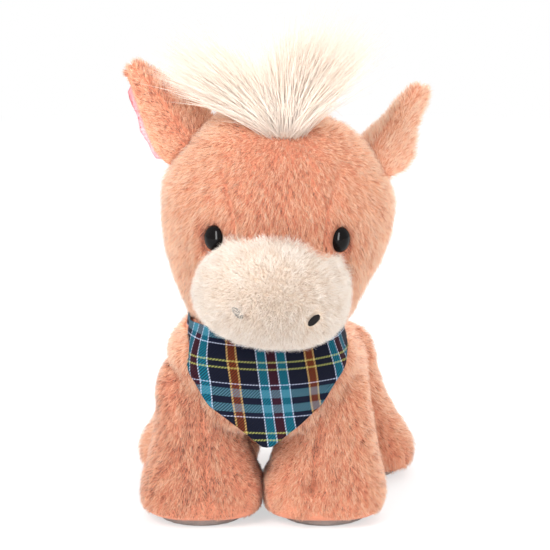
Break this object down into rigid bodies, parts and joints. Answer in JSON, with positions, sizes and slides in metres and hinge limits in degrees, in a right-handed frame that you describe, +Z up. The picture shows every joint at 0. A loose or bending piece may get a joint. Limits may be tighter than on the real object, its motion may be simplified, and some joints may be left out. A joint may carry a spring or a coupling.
{
  "type": "plush horse",
  "caption": "Standing plush horse with a large round head, cream muzzle and forelock, pink-lined ears, and a plaid cloth tied round its neck.",
  "frame": {"origin": "middle of the bounding box, on the floor under the soles", "axes": "+Z up, -Y the way the face looks, +X towards the viewer's right as the face is looked at"},
  "size_m": [0.1708, 0.2495, 0.2863],
  "materials": {
    "coral_fur": "short plush pile",
    "cream_fur": "short plush pile",
    "long_pile": "long silky pile",
    "pink_satin": "satin weave",
    "grey_cloth": "brushed",
    "plaid_cloth": "woven plaid",
    "nostril_thread": "satin stitch",
    "filling_fibre": "loose fibre",
    "eye_plastic": "polished",
    "washer_nylon": "moulded"
  },
  "bodies": {
    "trunk": {"body_cover": "coral_fur", "body_filling": "filling_fibre", "neck_cloth": "plaid_cloth"},
    "head": {"head_cover": "coral_fur", "muzzle_cover": "cream_fur", "head_filling": "filling_fibre", "eye_left": "eye_plastic", "eye_right": "eye_plastic", "eye_washer_left": "washer_nylon", "eye_washer_right": "washer_nylon", "nostril_left": "nostril_thread", "nostril_right": "nostril_thread", "forelock": "long_pile", "mane": "long_pile"},
    "left_ear": {"ear_left": "coral_fur", "ear_lining_left": "pink_satin"},
    "right_ear": {"ear_right": "coral_fur", "ear_lining_right": "pink_satin"},
    "left_foreleg": {"foreleg_left_cover": "coral_fur", "foreleg_left_filling": "filling_fibre", "forefoot_left_sole": "grey_cloth"},
    "right_foreleg": {"foreleg_right_cover": "coral_fur", "foreleg_right_filling": "filling_fibre", "forefoot_right_sole": "grey_cloth"},
    "left_hindleg": {"hindleg_left_cover": "coral_fur", "hindleg_left_filling": "filling_fibre", "hindfoot_left_sole": "grey_cloth"},
    "right_hindleg": {"hindleg_right_cover": "coral_fur", "hindleg_right_filling": "filling_fibre", "hindfoot_right_sole": "grey_cloth"},
    "dock": {"tail": "long_pile"}
  },
  "joints": [
    {"name": "head_turn", "type": "hinge", "parent": "trunk", "child": "head", "pos_m": [-0.006, -0.034, 0.118], "axis": [0, 0, 1], "range_deg": [-20, 20], "stiffness_Nm_per_rad": 0.4},
    {"name": "ear_left_flop", "type": "hinge", "parent": "head", "child": "left_ear", "pos_m": [-0.04674, -0.03762, 0.21535], "axis": [0.7773, 0.2747, 0.5659], "range_deg": [-20, 20], "stiffness_Nm_per_rad": 0.05},
    {"name": "ear_right_flop", "type": "hinge", "parent": "head", "child": "right_ear", "pos_m": [0.05267, -0.03238, 0.20578], "axis": [0.8031, -0.5816, -0.1298], "range_deg": [-20, 20], "stiffness_Nm_per_rad": 0.05},
    {"name": "foreleg_left_swing", "type": "hinge", "parent": "trunk", "child": "left_foreleg", "pos_m": [-0.0437, -0.037, 0.062], "axis": [1, 0, 0], "range_deg": [-15, 15], "stiffness_Nm_per_rad": 1},
    {"name": "foreleg_right_swing", "type": "hinge", "parent": "trunk", "child": "right_foreleg", "pos_m": [0.0267, -0.037, 0.062], "axis": [1, 0, 0], "range_deg": [-15, 15], "stiffness_Nm_per_rad": 1},
    {"name": "hindleg_left_swing", "type": "hinge", "parent": "trunk", "child": "left_hindleg", "pos_m": [-0.048, 0.068, 0.062], "axis": [1, 0, 0], "range_deg": [-15, 15], "stiffness_Nm_per_rad": 1},
    {"name": "hindleg_right_swing", "type": "hinge", "parent": "trunk", "child": "right_hindleg", "pos_m": [0.047, 0.068, 0.062], "axis": [1, 0, 0], "range_deg": [-15, 15], "stiffness_Nm_per_rad": 1},
    {"name": "tail_swing", "type": "hinge", "parent": "trunk", "child": "dock", "pos_m": [-0.0005, 0.107, 0.086], "axis": [1, 0, 0], "range_deg": [0, 45], "stiffness_Nm_per_rad": 0.05}
  ]
}
